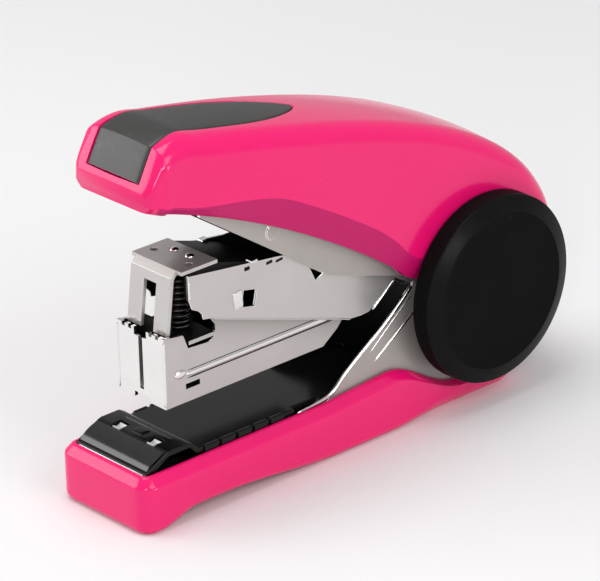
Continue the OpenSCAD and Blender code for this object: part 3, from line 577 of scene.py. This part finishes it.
def coiled(radius, wire_radius, low, high, turns, closed=1.0):
    """Helix whose climb is slow over the closed turns at both ends and even between them."""
    t = np.linspace(0, turns, int(turns * 22))
    pitch = (high - low - 2 * wire_radius - 4 * closed * wire_radius) / (turns - 2 * closed)
    climb = ((np.minimum(t, closed) + np.clip(t - turns + closed, 0, None)) * 2 * wire_radius
             + np.clip(t - closed, 0, turns - 2 * closed) * pitch)
    r = radius - wire_radius
    return np.stack([r * np.cos(2 * math.pi * t), r * np.sin(2 * math.pi * t), low + wire_radius + climb], -1)


def spring(name, body, node, points):
    return fitted(put_together(name, [patch(points, around=True, ends=True)], spring_wire, 60),
                  body, "spring_steel", node)


thin_wire, stout_wire = 0.3, 0.4
head_coil = swept_wire(coiled(2.6, thin_wire, 30.3, 42.1, 11), thin_wire)
head_coil = head_coil + np.array([18.6 - half_length, 0, 0])
driver_coil = spring("driver_coil", "driver", "driver_spring", head_coil)
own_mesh(driver_coil)
table_coil = swept_wire(coiled(3, stout_wire, 4.2, 9.8, 4, 0.6), stout_wire)
table_coil = table_coil + np.array([26 - half_length, 0, 0])
table_coil = spring("table_coil", "base", "table_spring", table_coil)
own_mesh(table_coil)
feed_low, feed_high = (1000 * value for value in (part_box("pusher_spring")[0][0],
                                                  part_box("pusher_spring")[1][0]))
feed_coil = swept_wire(coiled(1.5, thin_wire, feed_low, feed_high, 13), thin_wire)[..., [2, 1, 0]]
feed_coil = feed_coil + np.array([0, 0, 21.9])
feed_coil = spring("pusher_coil", "magazine", "pusher_spring", feed_coil)
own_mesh(feed_coil)

first_turn, last_turn, turns, pin_leg, base_leg = 230, 170, 5 - 60 / 360, 20, 18.5
torsion_radius, torsion_half = 3.5, 2.8
t = np.linspace(0, 1, 120)
angle = np.radians(first_turn) + 2 * math.pi * turns * t
torsion = np.stack([torsion_radius * np.cos(angle), torsion_half - 2 * torsion_half * t,
                    torsion_radius * np.sin(angle)], -1)
first, last = math.radians(first_turn), math.radians(last_turn)
first_way = np.array([math.sin(first), 0, -math.cos(first)])
last_way = np.array([-math.sin(last), 0, math.cos(last)])
first_leg = torsion[0] + np.linspace(pin_leg, 1, 12)[:, None] * first_way
last_leg = torsion[-1] + np.linspace(1, base_leg, 12)[:, None] * last_way
torsion = np.concatenate([first_leg, torsion, last_leg]) + np.array([axle_x, 0, axle_z])
spring("torsion_spring", "axle_group", "return_spring", swept_wire(torsion, stout_wire))

# Ribs, beads and tabs ------------------------------------------------------------------------
# Pressed details of the steel parts: the rolled front edge and the beads of the ears, the ridge,
# tab and round corners of the magazine, the lanced tabs of the driver's arm, and the head's rivets.
def through(keys, t):
    """Smooth line through evenly numbered keys: cubic pieces that leave each key along half the
    step between its neighbours."""
    slopes = np.gradient(keys, axis=0)
    i = np.clip(np.floor(t).astype(int), 0, len(keys) - 2)
    u = (t - i)[:, None]
    return ((2 * u ** 3 - 3 * u ** 2 + 1) * keys[i] + (u ** 3 - 2 * u ** 2 + u) * slopes[i]
            + (3 * u ** 2 - 2 * u ** 3) * keys[i + 1] + (u ** 3 - u ** 2) * slopes[i + 1])


def beaded(line, out, radius, thickness=1.0):
    """Bead along a side-view line at a distance from the middle: ellipses square to a smooth curve
    through the line's points, radius high and thickness times as deep, drawn in at both ends."""
    line = np.array(line, float)
    curve = through(line, np.linspace(0, len(line) - 1, 10 * len(line)))
    step = np.gradient(curve, axis=0)
    step /= np.linalg.norm(step, axis=1, keepdims=True)
    along = np.concatenate([[0], np.cumsum(np.linalg.norm(np.diff(curve, axis=0), axis=1))])
    near_end = np.minimum(along, along[-1] - along) / (2 * radius)
    full = radius * np.sqrt(np.clip(1 - (1 - np.clip(near_end, 0.06, 1)) ** 2, 0, 1))[:, None]
    turn = np.linspace(0, 2 * math.pi, 13)[:-1]
    return np.stack([curve[:, :1] - full * np.cos(turn) * step[:, 1:], out + full * thickness * np.sin(turn),
                     curve[:, 1:] + full * np.cos(turn) * step[:, :1]], -1)


def beads(name, body, finish, slot, lines):
    """Beads on both sides as one piece; a line is (points, distance from the middle, radius, thickness)."""
    laid = [patch(beaded(line, side * out, radius, thickness), around=True, ends=True)
            for line, out, radius, thickness in lines for side in (-1, 1)]
    return fitted(put_together(name, laid, finish, 60), body, slot)


ear_side, box_side, arm_side = 9.2, 6.2, 7.1
ear_front = [(-12.6, 10.1), (-8.6, 10.4), (-4.4, 11.3), (-1.2, 13.9), (3.2, 16.9), (7.6, 19.7), (11.8, 22.8),
             (15.4, 25.7)]
beads("ear_edges", "base", bright_steel, "bright_steel", [
    (ear_front, ear_side - 0.15, 0.42, 0.75),
    ([(5.8, 14.1), (11.8, 18.1), (17.9, 22.2)], ear_side + 0.02, 0.26, 0.6),
    ([(4.9, 16.2), (10.0, 20.2), (15.1, 24.1)], ear_side, 0.14, 0.5)])
beads("magazine_beads", "magazine", bright_steel, "bright_steel", [
    ([(-35.2, 24.35), (-18, 24.3), (-1, 24.3)], box_side, 0.5, 0.34),
    ([(-39.85, 19.5), (-39.85, 25.5), (-39.85, 32.0)], box_side - 0.18, 0.36, 0.6),
    ([(-37.9, 24.8), (-36.6, 24.8), (-35.3, 24.8)], box_side + 0.05, 0.8, 0.35)])
# Two near-black lines along the ridge's feet: painted shade in the creases beside it.
beads("magazine_ridge_shade_lines", "magazine", dark_steel, "dark_steel", [
    ([(-35.0, 23.62), (-18, 23.62), (-1, 23.62)], box_side, 0.13, 0.5),
    ([(-35.0, 25.04), (-18, 25.04), (-1, 25.04)], box_side, 0.08, 0.5)])
beads("arm_edges", "driver", bright_steel, "bright_steel", [
    ([(-29.7, 33.35), (-16, 28.85), (-1.6, 24.2), (2.3, 22.8)], arm_side - 0.05, 0.16, 1.0),
    ([(-34.6, 41.6), (-34.6, 40.0), (-34.55, 38.3)], arm_side - 0.05, 0.16, 1.0),
    ([(7.6, 23.0), (10.2, 25.0), (13.2, 27.4)], arm_side - 0.05, 0.3, 0.8)])


def folded(x, y, z, turned_by=0.0):
    """Small folded tab: a rounded block between two corners, turned about its own middle in side view."""
    block = pillow(x[0], x[1], abs(y[1] - y[0]) / 2, z[0], z[1], 0.12) + np.array([0, (y[0] + y[1]) / 2, 0])
    middle = np.array([sum(x) / 2, 0, sum(z) / 2])
    cosine, sine = math.cos(turned_by), math.sin(turned_by)
    turning = np.array([[cosine, 0, sine], [0, 1, 0], [-sine, 0, cosine]])
    return patch((block - middle) @ turning + middle, around=True)


arm_tabs, arm_shades = [], []
for side in (-1, 1):
    skin = side * arm_side
    arm_tabs += [folded((-26.6, -22.6), (skin, skin - side * 1.8), (40.5, 40.95), 0.10),
                 folded((-20.6, -19.0), (skin, skin - side * 1.5), (40.6, 41.15), 0.05),
                 folded((-24.9, -22.9), (skin - side * 0.1, skin + side * 0.22), (33.3, 36.6), 0.12)]
    # Near-black blocks in the arm's openings: painted shade standing for their dark inside.
    arm_shades += [folded((-22.2, -20.9), (skin - side * 0.5, skin + side * 0.04), (39.6, 40.6)),
                   folded((-17.2, -15.7), (skin - side * 0.5, skin + side * 0.04), (39.3, 40.1), 0.1),
                   folded((-15.0, -13.3), (skin - side * 0.5, skin + side * 0.04), (39.1, 39.8), 0.1)]
fitted(put_together("arm_tabs", arm_tabs, bright_steel, 50), "driver", "bright_steel")
fitted(put_together("arm_slot_shades", arm_shades, dark_steel, 50), "driver", "dark_steel")


def domed(x, y, low, radius, height):
    """Rivet with a domed head: circles whose radius follows a quarter ellipse, on a straight shank."""
    rise = np.linspace(0, math.pi / 2, 9)[:, None]
    turn = np.linspace(0, 2 * math.pi, 33)[:-1]
    reach, lift = radius * np.cos(rise), low + height * np.sin(rise)
    reach, lift = np.concatenate([reach[:1], reach]), np.concatenate([lift[:1] - 0.35, lift])
    head = np.stack([x + reach * np.cos(turn), y + reach * np.sin(turn), lift + 0 * turn], -1)
    return patch(head, around=True)


rivet_low, rivet_high = (np.array(corner) * 1000 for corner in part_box("head_rivets"))
rivet_x, rivet_apart, dome_height = (rivet_low[0] + rivet_high[0]) / 2, 4, 0.5
rivets = [domed(rivet_x, side * rivet_apart / 2, rivet_high[2] - dome_height, 0.85, dome_height)
          for side in (-1, 1)]
fitted(put_together("rivet_heads", rivets, bright_steel, 50), "driver", "bright_steel", "head_rivets")

# Side caps ----------------------------------------------------------------------------------
# Two turned-looking mouldings in black plastic on the ends of the axle: a matt, finely textured
# face, a smoother bevel round it, and a hollow back with a hub.
cap_face = Finish("cap_face")
cap_grain = cap_face.speckle(0.0003, 4)
cap_cloud = cap_face.speckle(0.007)
cap_dust = cap_face.band(cap_face.speckle(0.0007, 6), 0.68, 0.76)
cap_black = cap_face.shade(
    cap_grain, 0.000012,
    Base_Color=cap_face.blend(
        cap_dust, cap_face.blend(cap_cloud, colour(0.0035, 0.0035, 0.0038), colour(0.007, 0.007, 0.0068)),
        colour(0.03, 0.03, 0.03)),
    Roughness=0.42 + 0.12 * cap_cloud, Specular_IOR_Level=0.025)

cap_ring = Finish("cap_bevel")
ring_cloud = cap_ring.speckle(0.004)
cap_bevel = cap_ring.shade(
    cap_ring.speckle(0.0004, 3), 0.000008,
    Base_Color=cap_ring.blend(ring_cloud, colour(0.004, 0.004, 0.004), colour(0.007, 0.007, 0.0065)),
    Roughness=0.24 + 0.06 * ring_cloud, Specular_IOR_Level=0.06)


def turned(profile, side, steps=160):
    """Profile of (radius, distance from the middle) points turned once round the axle, on one side."""
    radius, out = np.array(profile, float).T
    turn = np.linspace(0, 2 * math.pi, steps + 1)[:-1]
    radius, out = radius[:, None], out[:, None]
    return np.stack([axle_x + radius * np.cos(turn), side * out + 0 * turn,
                     axle_z + radius * np.sin(turn)], -1)


def softened(corners, radius=0.25, steps=4):
    """Polyline whose inner corners are replaced by short curves, each a quadratic bend about its corner."""
    corners = np.array(corners, float)
    line = [corners[:1]]
    for before, corner, after in zip(corners, corners[1:], corners[2:]):
        arm_in, arm_out = before - corner, after - corner
        reach = [min(radius, 0.45 * np.linalg.norm(arm)) / np.linalg.norm(arm) for arm in (arm_in, arm_out)]
        start, end = corner + arm_in * reach[0], corner + arm_out * reach[1]
        t = np.linspace(0, 1, steps + 1)[:, None]
        line.append((1 - t) ** 2 * start + 2 * t * (1 - t) * corner + t ** 2 * end)
    return np.concatenate(line + [corners[-1:]])


cap_profile = softened([
    (0, 16.74), (8, 16.70), (14.1, 16.72), (14.75, 16.8), (17.75, 15.8), (17.8, 12.3), (16.3, 12.2),
    (16.2, 14), (15.2, 15), (4, 15), (4, 9.5), (2.02, 9.5), (2.02, 15), (0, 15)], 0.22)
bevel_from, bevel_out = 14.7, 15.3
for side, name in ((1, "left"), (-1, "right")):
    cap = put_together(f"cap_{name}", [patch(turned(cap_profile, side), around=True)], cap_black, 50)
    cap.data.materials.append(cap_bevel)
    middle, _ = faces_of(cap.data)
    reach = np.hypot(middle[:, 0] - axle_x, middle[:, 2] - axle_z)
    on_bevel = (reach > bevel_from) & (np.abs(middle[:, 1]) > bevel_out)
    cap.data.polygons.foreach_set("material_index", on_bevel.astype(np.int32))
    fitted(cap, "axle_group", "black_plastic", f"side_cap_{name}")

# Handle shell -------------------------------------------------------------------------------
# One hollow moulding in the same pink: a blunt nose, a crown that falls round the caps, and sides
# that draw in below a crease. A shallow bed for the grip pad is sunk into its top and front.
crown_guide = np.array([(-42, 70.3), (-14.1, 65), (53, 55.9), (50, 24)])
hem_guide = np.array([(-45, 57.8), (-15, 49.9), (15, 27.7)])
pad_half, pad_straight, pad_end, pad_gap, pad_low = 6.7, -24, -4, 0.14, 62.1
wall, band_draw = 2.0, 1.15


def guided(points, t):
    """Curve drawn by control points: each weighs binomial(n, i) t^i (1 - t)^(n - i)."""
    n, t = len(points) - 1, np.asarray(t, float)[:, None]
    return sum(math.comb(n, i) * t ** i * (1 - t) ** (n - i) * points[i] for i in range(n + 1))


grip_share = 0.08 + 0.92 * np.arange(10) / 9
back_share = np.arange(1, 9) / 8
back_turn = np.radians(160 - 155 * back_share)
shell_keys = np.concatenate([
    [(-45, 57.8, -45, 61.2, 8.8), (-44.5, 57.6, -44.0, 63.2, 9.8), (-42.6, 56.9, -41.85, 67.1, 10.4),
     (-41.3, 56.5, -40.7, 68.3, 10.7)],
    np.column_stack([guided(hem_guide, grip_share), guided(crown_guide, 0.025 + 0.465 * grip_share),
                     10.6 + 1.3 * eased(0, 0.6, grip_share)]),
    np.column_stack([axle_x + 9 * np.cos(back_turn), axle_z + 9 * np.sin(back_turn),
                     guided(crown_guide, 0.49 + 0.51 * back_share), 0 * back_share + 11.9])])


def pad_width(x):
    """Half width of the pad's bed in plan: straight, then a rounded taper that ends in nothing."""
    u = np.clip((x - pad_straight) / (pad_end + pad_gap - pad_straight), 0, 1)
    return (pad_half + pad_gap) * (1 - u ** 2.2) ** 0.75


def corner_radius(height):
    return np.clip(height * 0.3, 0.6, 4.0)


def crown_points(stations, y, sink):
    """Points on the top of the shell at distances y from the middle, sunk straight into it: the hem
    point plus the rise along the station, less a slow fall to the sides, less sink along the normal."""
    hem, crown, half = stations[:, :2], stations[:, 2:4], stations[:, 4:5]
    rise = crown - hem
    height = np.linalg.norm(rise, axis=1, keepdims=True)
    up = rise / height
    run = np.gradient(crown, axis=0)
    run /= np.linalg.norm(run, axis=1, keepdims=True)
    normal = np.stack([-run[:, 1], run[:, 0]], -1)
    flat = half - corner_radius(height)
    rounding = 0.45 * np.minimum(height / 20, 1) * (1 - np.clip(np.abs(y) / flat, 0, 1) ** 2)
    side_view = crown[:, None] + rounding[..., None] * up[:, None] - sink[..., None] * normal[:, None]
    return np.stack([side_view[..., 0], y, side_view[..., 1]], -1)


def band_height(x):
    """The band grows from a narrow strip under the nose to its full height above the rear of the arm."""
    return 1.3 + 4.3 * eased(-38, -14, x) - 1.4 * eased(4, 16, x) - 1.2 * eased(16, 40, x)


def shell_half(stations, drawn, bed):
    """Right half of the shell's cross-sections, from hem to middle: the drawn-in band, the side, a
    quarter circle, and the top with the sunk bed. drawn sets the whole section in by a wall."""
    rise = stations[:, 2:4] - stations[:, :2]
    full = np.linalg.norm(rise, axis=1, keepdims=True)
    up = rise / full
    height, half = full - drawn, stations[:, 4:5] - drawn
    radius = np.maximum(corner_radius(full) - drawn / 2, 0.5)
    band = band_height(stations[:, :1])
    rows = len(stations)
    low = (np.array([[0, 0, 0.12, 0.5, 0.85, 1, 1, 1]]) * band
           + np.array([[0, 0.12, 0.2, 0, 0, -0.15, 0.25, 0.8]]))
    set_in = (np.array([[1, 1, 0.88, 0.5, 0.15, 0.04, 0, 0]]) * band_draw * (0.1 if drawn else 1)
              + np.array([[0.38, 0.1, 0, 0, 0, 0, 0, 0]]))
    side = np.array([[0.3, 0.65, 1.0]])
    side_up = (band + 0.8) + side * (height - radius - band - 0.8)
    turn = np.linspace(0, math.pi / 2, 11)[None, 1:]
    lift = np.hstack([low + 0 * half, side_up, height - radius + radius * np.sin(turn)])
    out = np.hstack([half - set_in, half + 0 * side, half - radius + radius * np.cos(turn)])
    foot = stations[:, None, :2] + lift[..., None] * up[:, None]
    flank = np.stack([foot[..., 0], out, foot[..., 1]], -1)
    edge = half - radius
    bed_edge = np.where(bed > 0.01, np.minimum(pad_width(stations[:, 2:3]), edge - 0.2), 0.3)
    share = np.array([[0.25, 0.5, 0.75, 0.93]])
    y = np.hstack([edge + (bed_edge - edge) * share, bed_edge + 0.08, bed_edge, bed_edge, bed_edge * 0.66,
                   bed_edge * 0.33, 0 * bed_edge])
    sink = np.hstack([np.zeros((rows, 4)), 0.03 * bed, 0.2 * bed, np.repeat(1.15 * bed, 4, axis=1)]) + drawn
    return np.concatenate([flank, crown_points(stations, y, sink)], axis=1)


def both_sides(right_half):
    """The right half (y below nothing) joined to its mirror image at the middle."""
    return np.concatenate([right_half * np.array([1, -1, 1]), right_half[:, -2::-1]], axis=1)


fine = np.unique(np.concatenate([np.linspace(0, 21, 211), [0.02, 0.04, 0.06, 0.08, 0.12, 0.15]]))
shell_line = through(shell_keys, fine)
bed_depth = (eased(pad_low + 0.05, pad_low + 0.12, shell_line[:, 3]) *
             (1 - eased(pad_end - 0.3, pad_end + 0.1, shell_line[:, 2])))[:, None]
outside = both_sides(shell_half(shell_line, 0.0, bed_depth))
inner_line = shell_line.copy()
nose_fade = 1 - eased(3, 4.5, fine)
inner_line[:, 0] += wall * nose_fade
inner_line[:, 2] += wall * nose_fade
inner_line[:, 3] -= 0.7 * nose_fade
inside = both_sides(shell_half(inner_line, wall, 0 * bed_depth))
rim_loop = np.stack([np.concatenate([grid[::-1, 0], grid[:, -1]]) for grid in (outside, inside)])
back_edge = np.stack([outside[-1], inside[-1]])
nose_face = [(grid[0], [list(range(grid.shape[1]))]) for grid in (outside, inside)]
ribs = [patch(pillow(x, x + 1.2, 7.3, low, high, 0.1), around=True)
        for x, low, high in ((-24, 60.7, 66), (-8, 57.6, 62.5), (8.3, 54.3, 58.2))]
moulding = put_together("handle_moulding", [patch(outside), patch(inside), patch(rim_loop), patch(back_edge),
                                            *nose_face, *ribs], gloss_pink, 42)
# A darker, duller pink on the band below the crease: painted shade, for the band that faces down, away from
# the lamps.
under = Finish("pink_band_painted_shade")
under_cloud = under.speckle(0.010)
moulding.data.materials.append(under.shade(
    under.speckle(0.0009, 2), 0.0000012, Roughness=0.30 + 0.08 * under_cloud, Specular_IOR_Level=0.25,
    Base_Color=under.blend(under_cloud, colour(0.47, 0.003, 0.108), colour(0.51, 0.004, 0.118))))
middle, _ = faces_of(moulding.data)
crease_row, crease_stations, crease_from = 6, 170, -43
crease = outside[:crease_stations, crease_row]
crease_z = np.interp(middle[:, 0], crease[:, 0], crease[:, 2])
below = (middle[:, 2] < crease_z) & (middle[:, 0] > crease_from) & (middle[:, 0] < crease[-1, 0])
moulding.data.polygons.foreach_set("material_index", below.astype(np.int32))
fitted(moulding, "handle", "pink_plastic", "handle_shell")

# Grip pad -----------------------------------------------------------------------------------
# Soft dark rubber pressed into its bed, a hair's breadth clear of the shell all round, with a
# rolled edge and a fine grain.
grip = Finish("grip_rubber")
grip_grain = grip.speckle(0.00028, 5)
grip_cloud = grip.speckle(0.005)
grip_rub = grip.band(grip.speckle(0.0018, 5), 0.6, 0.75)
grip_rubber = grip.shade(
    grip_grain, 0.00003,
    Base_Color=grip.blend(
        grip_rub, grip.blend(grip_cloud, colour(0.011, 0.0108, 0.0098), colour(0.018, 0.0178, 0.0162)),
        colour(0.036, 0.0355, 0.033)),
    Roughness=0.34 + 0.10 * grip_cloud + 0.08 * grip_grain, Specular_IOR_Level=0.75)

on_pad = (shell_line[:, 3] > pad_low + 0.25) & (shell_line[:, 2] < pad_end - 0.25)
pad_line = shell_line[on_pad]
pad_edge = pad_width(pad_line[:, 2:3]) - 2 * pad_gap
across = np.array([[1, 1, 0.985, 0.955, 0.90, 0.75, 0.5, 0.25]])
across = np.hstack([across, [[0]], -across[:, ::-1]])
dip = np.array([[0.9, 0.28, 0.10, 0.01, -0.03, -0.05, -0.05, -0.05]])
dip = np.hstack([dip, [[-0.05]], dip[:, ::-1]])
pad_top = crown_points(pad_line, -pad_edge * across, dip + 0 * pad_edge)
back_across = pad_edge * np.linspace(1, -1, 5)[None]
pad_back = crown_points(pad_line, back_across, 0.95 + 0 * back_across)
pad_skin = np.concatenate([pad_top, pad_back], axis=1)
fitted(put_together("grip_pad_soft", [patch(pad_skin, around=True, ends=True)], grip_rubber, 60),
       "handle", "grip_rubber", "grip_pad")

# Closing -------------------------------------------------------------------------------------
bpy.context.view_layer.update()
